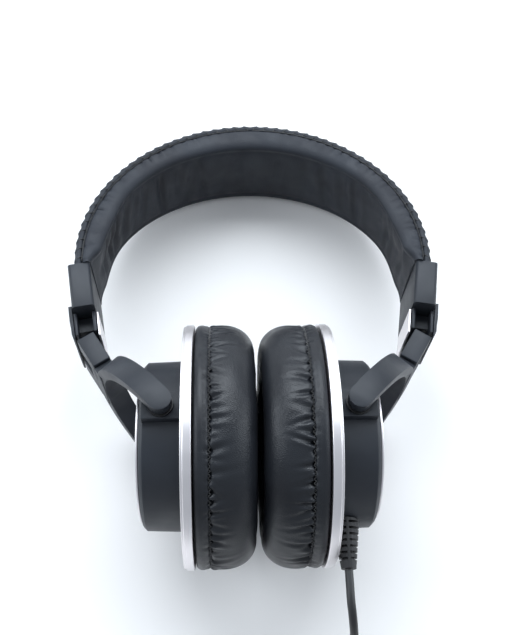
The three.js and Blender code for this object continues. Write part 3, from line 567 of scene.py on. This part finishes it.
def wrinkle_set(seed, count, reach, depth, lower_share):
    """Folds that run in from the seam: angle, length, depth, width and slant of each."""
    draw = random.Random(seed)
    folds = []
    for k in range(count):
        angle = 2 * math.pi * (k + draw.uniform(-0.36, 0.36)) / count
        lower = 0.5 - 0.5 * math.cos(angle)
        strength = 1 - lower_share + lower_share * lower
        folds.append((angle, draw.uniform(0.35, 1.0) * reach, draw.uniform(0.35, 1.0) * depth * strength,
                      draw.uniform(0.6, 1.15), draw.uniform(-0.35, 0.35)))
    return folds


def fold_depth(folds, angle, from_seam):
    """How deep the folds are at an angle round the cup and a distance from the seam."""
    total = 0.0
    for at, reach, depth, width, slant in folds:
        offset = (angle - at + math.pi) % (2 * math.pi) - math.pi
        if abs(offset) > FOLD_SPAN or from_seam > 1.6 * reach:
            continue
        across = offset * RING_R - slant * from_seam
        along = bell(from_seam, reach * 0.62)
        total += depth * along * (bell(across, width) - 0.45 * bell(abs(across) - 2.1 * width, width))
    return total


def inflate(obj, pinned, most):
    """Lets Cloth blow the piece up a little, and keeps each point within a distance."""
    rest = [v.co.copy() for v in obj.data.vertices]
    group = obj.vertex_groups.new(name="pinned")
    group.add(pinned, 1.0, "REPLACE")
    cloth = obj.modifiers.new("inflate", "CLOTH")
    settings = cloth.settings
    settings.quality = 6
    settings.mass = 0.25
    settings.tension_stiffness = settings.compression_stiffness = 18
    settings.shear_stiffness = 8
    settings.bending_stiffness = 1.5
    settings.vertex_group_mass = "pinned"
    settings.use_pressure = True
    settings.uniform_pressure_force = 4.0
    settings.effector_weights.gravity = 0
    cloth.point_cache.frame_start, cloth.point_cache.frame_end = 1, INFLATE_FRAMES
    for number in range(1, INFLATE_FRAMES + 1):
        bpy.context.scene.frame_set(number)
    apply_modifiers(obj)
    bpy.context.scene.frame_set(1)
    for vertex, start in zip(obj.data.vertices, rest):
        move = vertex.co - start
        if move.length > most:
            vertex.co = start + move.normalized() * most


def on_cup(side, x, r, angle):
    """A point at a distance out from the middle plane, a radius and an angle on one cup."""
    return (side * x, CUP_Y + r * math.cos(angle), r * math.sin(angle))


def local_of(point, side):
    """Radius, angle and distance out from the middle plane of a row point on one cup."""
    p = TO_ROW.inverted() @ point
    return math.hypot(p.y - CUP_Y, p.z), math.atan2(p.z, p.y - CUP_Y), side * p.x


def add_cushion(suffix, side):
    draw = random.Random(by_side(SEEDS["pad_outline"], side))
    phases = [draw.uniform(0, 2 * math.pi) for _ in range(4)]
    profile = smooth_path([(r, x, 0) for r, x in CUSHION_PROFILE], 2, closed=True)
    rows = []
    for i in range(PAD_STEPS):
        angle = 2 * math.pi * i / PAD_STEPS
        wander = sum(math.sin((3 + 4 * k) * angle + phase) for k, phase in enumerate(phases)) / 4
        rows.append([on_cup(side, p.y + 0.35 * wander * bell(p.y - 4, 5), p.x + 0.25 * wander, angle)
                     for p in profile])
    points, faces = bridge(rows, True, True)
    cushion = outward(add_mesh(f"ear_pad_{suffix}", points, faces, LEATHER_CUSHION))
    width = len(profile)
    back = [j for j, p in enumerate(profile) if p.y > SEAM_X - 0.3]
    pinned = [i * width + j for i in range(PAD_STEPS) for j in back]
    inflate(cushion, pinned, FACE_SPREAD / 1000)
    subdivided(cushion, 2)
    gather(cushion, side)
    finish_soft(cushion, f"cup_{suffix}", [f"ear_cushion_{suffix}"])


def gather(cushion, side):
    """Presses the seam's folds into the skin and flattens the face at the middle plane."""
    folds = wrinkle_set(by_side(SEEDS["long_folds"], side), *LONG_FOLDS)
    short = wrinkle_set(by_side(SEEDS["short_folds"], side), *SHORT_FOLDS)
    bpy.context.view_layer.update()
    moves = []
    for vertex in cushion.data.vertices:
        r, angle, out = local_of(vertex.co, side)
        if r < FOLDED_FROM_R or out > SEAM_X - 0.05:
            moves.append(None)
            continue
        from_seam = math.hypot(r - SEAM_R - 0.6, out - SEAM_X)
        depth = fold_depth(folds, angle, from_seam) + fold_depth(short, angle, from_seam)
        moves.append(vertex.normal * (-depth / 1000))
    for vertex, move in zip(cushion.data.vertices, moves):
        if move:
            vertex.co += move
        p = TO_ROW.inverted() @ vertex.co
        if side * p.x < MIDDLE_PLANE:
            p.x = side * MIDDLE_PLANE
            vertex.co = TO_ROW @ p
        vertex.co.z = max(vertex.co.z, TABLE_GAP)
    cushion.data.update()


def add_base_roll(suffix, side):
    """The rolled skirt between the seam and the silver ring, with short puckers at the seam."""
    outline = [(SEAM_R - 0.9, SEAM_X + 0.1), (SEAM_R + 0.7, SEAM_X + 0.6), (45.3, SEAM_X + 1.7),
               (45.6, SEAM_X + 3.0), (45.3, SEAM_X + 4.3), (44.4, 22.7), (42.2, 22.7), (42.1, 21.0),
               (34.0, 20.6), (26.4, 20.6), (26.3, SEAM_X + 0.4), (34.0, SEAM_X + 0.2)]
    profile = smooth_path([(r, x, 0) for r, x in outline], 3, closed=True)
    puckers = wrinkle_set(by_side(SEEDS["skirt"], side), *SKIRT_PUCKERS)
    rows = []
    for i in range(SKIRT_STEPS):
        angle = 2 * math.pi * i / SKIRT_STEPS - math.pi
        row = []
        for p in profile:
            r, x = p.x, p.y
            if r > 43 and x < 21.4:
                r -= fold_depth(puckers, angle, math.hypot(r - SEAM_R, x - SEAM_X))
            row.append(on_cup(side, x, r, angle))
        rows.append(row)
    points, faces = bridge(rows, True, True)
    roll = outward(add_mesh(f"pad_skirt_{suffix}", points, faces, LEATHER_CUSHION))
    finish_soft(roll, f"cup_{suffix}", [f"cushion_base_{suffix}"])


def add_seam(suffix, side):
    """The thread that zigzags along the seam between cushion and skirt."""
    draw = random.Random(by_side(SEEDS["thread"], side))
    path = []
    for i in range(2 * SEAM_STITCHES):
        angle = math.pi * i / SEAM_STITCHES
        x = SEAM_X + (0.4 if i % 2 else -0.4) + draw.uniform(-0.1, 0.1)
        r = SEAM_R + (0.45 if i % 2 else 0.55)
        path.append(Vector(on_cup(side, x, r, angle)))
    points, faces = bridge(tube_rows(path, 0.2, 5, closed=True), True, True)
    seam = outward(add_mesh(f"pad_stitching_{suffix}", points, faces, THREAD))
    finish_soft(seam, f"cup_{suffix}", [])


def finish_soft(obj, body, replaced):
    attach(obj, body)
    if replaced:
        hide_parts(*replaced)


# ---------- cup trim ----------

def add_ring(suffix, side):
    """The broad silver ring, stepped in a little at its outer back edge."""
    profile = [(RING_INNER_R, RING_FRONT), (RING_R - 0.2, RING_FRONT), (RING_R, RING_FRONT + 0.2),
               (RING_R, RING_BACK - 0.9), (RING_R - 0.5, RING_BACK - 0.8), (RING_R - 0.5, RING_BACK),
               (RING_INNER_R, RING_BACK)]
    ring = lathe(f"silver_ring_{suffix}", rounded(profile, 0.25), SILVER, side, 240, centre_y=CUP_Y)
    finish_hard(ring, f"cup_{suffix}", [f"trim_ring_{suffix}"])


def add_disc(suffix, side):
    profile = [(0.01, DISC_BACK), (DISC_R, DISC_BACK), (DISC_R, DISC_BACK + DISC_WALL),
               (DISC_R - 1.2, DISC_BACK + DISC_WALL), (DISC_R - 1.6, DISC_BACK + DISC_WALL - 0.2),
               (0.01, DISC_BACK + DISC_WALL - 0.2)]
    disc = lathe(f"silver_disc_{suffix}", rounded(profile, 0.2), SILVER, side, 160, centre_y=CUP_Y)
    finish_hard(disc, f"cup_{suffix}", [f"end_disc_{suffix}"])


def finish_hard(obj, body, replaced):
    sharpen(obj)
    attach(obj, body)
    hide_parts(*replaced)


def sharpen(obj, angle=40):
    obj.data.set_sharp_from_angle(angle=math.radians(angle))


# ---------- band ----------

def band_point(angle, depth, z, side):
    """A point on the band: depth is measured in from the cover's outside at the crown."""
    inside = max(0.0, depth - PAD_DEPTH)
    rear = z < 0
    if rear:
        z *= REAR_TRIM
    y = BAND_CENTRE_Y + (BAND_OUTER[1] - depth) * math.sin(angle)
    edge = abs(z) / BAND_HALF_WIDTH
    wall = PAD_WALL[0] + (-edge if rear else edge) * WALL_TAPER[rear]
    wall += HAUNCH[rear] * edge * bell(y - HAUNCH_Y[rear], HAUNCH_RUN)
    rise = min(1.0, max(0.0, (y - BAND_END_Y) / END_RUN[rear]))
    wall = END_WALL + (wall - END_WALL) * rise * rise * (3 - 2 * rise)
    a = BAND_OUTER[0] - min(depth, PAD_DEPTH) - inside * wall / PAD_WALL[1]
    return (side * a * math.cos(angle), y, z)


def band_angles(spacing):
    """Angles from the band's end to its middle, about a spacing apart along its outside."""
    angles, lengths = [], [0.0]
    fine = 2000
    start = math.asin((BAND_END_Y - BAND_CENTRE_Y) / BAND_OUTER[1])
    sweep = [start + (math.pi / 2 - start) * i / fine for i in range(fine + 1)]
    points = [Vector(band_point(a, 0, 0, 1)) for a in sweep]
    for p, q in zip(points, points[1:]):
        lengths.append(lengths[-1] + (q - p).length)
    count = round(lengths[-1] / spacing)
    index = 0
    for i in range(count + 1):
        wanted = lengths[-1] * i / count
        while index < fine and lengths[index] < wanted - 1e-9:
            index += 1
        angles.append((sweep[index], wanted))
    return angles, lengths[-1] / count


def scallop(along, pitch):
    """0 at the middle of each stitch, and 1 half-way between two."""
    return abs(math.cos(math.pi * along / pitch)) ** 1.5


def band_stitch_pitch():
    """The pitch that puts a whole number of stitches on each half of the band."""
    _, pitch = band_angles(STITCH_PITCH)
    return pitch


PITCH = band_stitch_pitch()
COVER_SECTION = [
    (0.0, 0.0), (9.0, 0.0), (15.0, 0.05), (17.2, 0.25), (18.3, 0.9), (18.6, 1.9), (18.2, 2.9),
    (17.0, 3.2), (15.2, 2.6), (13.0, 2.0), (6.0, 2.0),
]
PAD_SECTION = [
    (0.0, 3.5), (9.0, 3.5), (15.0, 3.5), (17.4, 3.4), (18.8, 4.0), (19.5, 5.4), (19.6, 7.4),
    (19.4, 9.9), (18.6, 11.9), (17.4, 12.9), (16.2, 12.75), (15.2, 12.6), (13.6, 13.0),
    (10.0, 13.3), (5.0, 13.45),
]


STITCH_PATH = [                      # place across the band, depth and place along it
    (16.6, 0.36, -1.0), (17.4, 0.42, -0.7), (18.1, 0.9, -0.3), (18.45, 1.7, 0.1),
    (18.5, 2.6, 0.5), (18.55, 3.5, 0.9),
]
STITCH_SLANT = 1.3
STITCH_R = 0.27
LINE_R = 0.26                        # the thread line under the stitches
LINE_DEPTH = 3.75
LINE_Z = 18.95


def both_edges(section):
    """A section given for the front half, completed with its mirror image."""
    back = [(-z, depth) for z, depth in reversed(section) if z > 0.01]
    return section + back


def add_band_piece(name, section, side, shape):
    """Sweeps a section along one half of the band; shape moves each point."""
    angles, _ = band_angles(BAND_SPACING)
    profile = smooth_path([(z, depth, 0) for z, depth in both_edges(section)], 3, closed=True)
    rows = []
    for angle, along in angles:
        row = []
        for p in profile:
            z, depth = shape(p.x, p.y, along)
            row.append(band_point(angle, depth, z, side))
        rows.append(row)
    points, faces = capped(rows)
    piece = outward(add_mesh(name, points, faces, LEATHER_BAND))
    sharpen(piece, 60)
    return piece


def cross_folds(seed, count, length):
    """Soft folds across the padding: place, width, depth and slant of each."""
    draw = random.Random(seed)
    folds = []
    for k in range(count):
        at = length * (k + draw.uniform(0.1, 0.9)) / count
        fade = 0.25 + 0.75 * min(1.0, max(0.0, (length * 0.9 - at) / (length * 0.3)))
        folds.append((at, draw.uniform(1.2, 2.6), draw.uniform(0.35, 1.0) * fade,
                      draw.uniform(-0.15, 0.15)))
    return folds


def add_band_half(suffix, side):
    angles, _ = band_angles(1.0)
    length = angles[-1][1]
    folds = cross_folds(by_side(SEEDS["band_folds"], side), FOLD_COUNT, length)
    puckers = cross_folds(by_side(SEEDS["band_puckers"], side), PUCKER_COUNT, length)

    def pad_shape(z, depth, along):
        crown = min(1.0, (length - along) / CROWN_FADE)
        inner = max(0.0, min(1.0, (depth - FOLD_FROM_DEPTH) / 2))
        inner *= max(0.0, 1 - (z / FOLD_HALF_WIDTH) ** 4)
        for at, width, size, slant in folds:
            across = along - at - slant * z
            wave = bell(across, width) - 0.5 * bell(abs(across) - 2 * width, width)
            depth -= by_side(FOLD_SIZE, side) * crown * inner * size * wave
        rolled = bell(depth - 5.0, 3.2) * (1 if abs(z) > 17 else 0)
        for at, width, size, slant in puckers:
            across = along - at - slant * (depth - 4)
            z -= math.copysign(PUCKER_SIZE * size * rolled * bell(across, 0.35 * width) * crown, z)
        pinch = scallop(along, PITCH) * bell(abs(z) - 18.0, 1.2) * bell(depth - 3.4, 1.4)
        return z - math.copysign(PAD_PINCH * pinch, z), depth

    def cover_shape(z, depth, along):
        pinch = scallop(along, PITCH) * bell(abs(z) - 17.6, 1.5)
        return z - math.copysign(COVER_PINCH[0] * pinch, z), depth + COVER_PINCH[1] * pinch

    cover = add_band_piece(f"band_top_{suffix}", COVER_SECTION, side, cover_shape)
    pad = add_band_piece(f"band_padding_{suffix}", PAD_SECTION, side, pad_shape)
    stitches = add_whip_stitches(suffix, side, length)
    for obj, layer in ((cover, "band_cover"), (pad, "headband_pad"), (stitches, None)):
        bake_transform(obj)
        if layer:
            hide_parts(f"{layer}_{suffix}", f"{layer}_crown")


def angle_at(along, table):
    """The band's angle at a distance along its outside."""
    for (a0, s0), (a1, s1) in zip(table, table[1:]):
        if s0 <= along <= s1:
            return a0 + (a1 - a0) * (along - s0) / (s1 - s0)
    return table[-1][0]


def add_whip_stitches(suffix, side, length):
    """Slanted stitches over both edges of the band, and the line of thread under them."""
    table, _ = band_angles(0.5)
    parts = []
    count = round(length / PITCH)
    for edge in (1, -1):
        for k in range(count):
            centre = (k + 0.5) * PITCH
            path = [Vector(band_point(angle_at(centre + shift * STITCH_SLANT, table), depth, edge * z, side))
                    for z, depth, shift in STITCH_PATH]
            parts.append(capped(tube_rows(smooth_path(path, 3), STITCH_R, 6, taper=True)))
        line = []
        for k in range(2 * count):
            along = (k + 0.5) * PITCH / 2
            rise = 0.05 if k % 2 else -0.2
            z = edge * (LINE_Z + rise)
            line.append(Vector(band_point(angle_at(along, table), LINE_DEPTH, z, side)))
        parts.append(capped(tube_rows(smooth_path(line, 3), LINE_R, 5)))
    return joined(f"band_stitching_{suffix}", parts, THREAD)


# ---------- carried-over solids ----------

BEVELS = {"end_block": 0.5, "slider_cover": 0.4, "slider_arm": 0.25, "knuckle": 0.45, "yoke": 0.5,
          "cup_housing": 0.5, "slider_scale": 0.15}


def soften_edges(obj, width):
    """Small rounds on a moulded piece's edges."""
    weld = obj.modifiers.new("weld", "WELD")
    weld.merge_threshold = 0.00001
    bevel = obj.modifiers.new("bevel", "BEVEL")
    bevel.width = width / 1000
    bevel.segments = 3
    bevel.limit_method = "ANGLE"
    bevel.angle_limit = math.radians(35)
    bevel.harden_normals = True


def dress_nodes():
    slots = {entry["node"]: entry["material_slot"] for entry in frame["record"]["subparts"]}
    for name, obj in frame["nodes"].items():
        obj.data.materials.clear()
        obj.data.materials.append(NODE_MATERIALS[slots[name]])
        for polygon in obj.data.polygons:
            polygon.use_smooth = True
        base = name.rsplit("_", 1)[0]
        if base in ("baffle", "driver_frame"):
            obj.data.materials[0] = DARK_PLASTIC
        if base in BEVELS:
            soften_edges(obj, BEVELS[base])


# ---------- stage ----------

TABLE_COLOUR = (0.95, 0.93, 0.91)
TABLE_HALF = 3000
WORLD_COLOUR = (0.84, 0.91, 1.0)
WORLD_STRENGTH = 0.5
LIGHT_COLOUR = (0.86, 0.93, 1.0)
LIGHT_TARGET = (0, 0.02, 0.04)
LIGHTS = (                           # name, place, size in metres, and watts
    ("top_light", (0.0, 0.75, 0.8), (1.2, 0.7), 17),
    ("left_light", (-0.85, 0.15, 0.45), (0.4, 0.8), 5),
    ("right_light", (0.85, 0.15, 0.45), (0.4, 0.8), 4),
)


def add_stage():
    floor = Shader("pale_table", TABLE_COLOUR, 0.8)
    size = TABLE_HALF
    points = [(-size, -size, 0), (size, -size, 0), (size, size, 0), (-size, size, 0)]
    table = add_mesh("table", points, [(0, 1, 2, 3)], floor.material, TABLE_MM)


def add_area_light(name, place, size, power):
    data = bpy.data.lights.new(name, "AREA")
    data.shape = "RECTANGLE"
    data.size, data.size_y = size
    data.energy = power
    data.color = LIGHT_COLOUR
    light = bpy.data.objects.new(name, data)
    bpy.context.scene.collection.objects.link(light)
    light.location = place
    direction = Vector(LIGHT_TARGET) - Vector(place)
    light.rotation_euler = direction.to_track_quat("-Z", "Y").to_euler()


def add_lights():
    bpy.context.scene.view_settings.view_transform = "Standard"
    world = bpy.data.worlds.new("studio")
    world.use_nodes = True
    background = world.node_tree.nodes["Background"]
    background.inputs["Color"].default_value = (*WORLD_COLOUR, 1)
    background.inputs["Strength"].default_value = WORLD_STRENGTH
    bpy.context.scene.world = world
    for name, place, size, power in LIGHTS:
        add_area_light(name, place, size, power)


# ---------- assembly ----------

add_camera()
cord = add_cord()
tie = add_tie()
plug_parts = add_plug()
dress_nodes()
for suffix, side in SIDES:
    add_ring(suffix, side)
    add_disc(suffix, side)
    add_cushion(suffix, side)
    add_base_roll(suffix, side)
    add_seam(suffix, side)
    add_band_half(suffix, side)
add_stage()
add_lights()
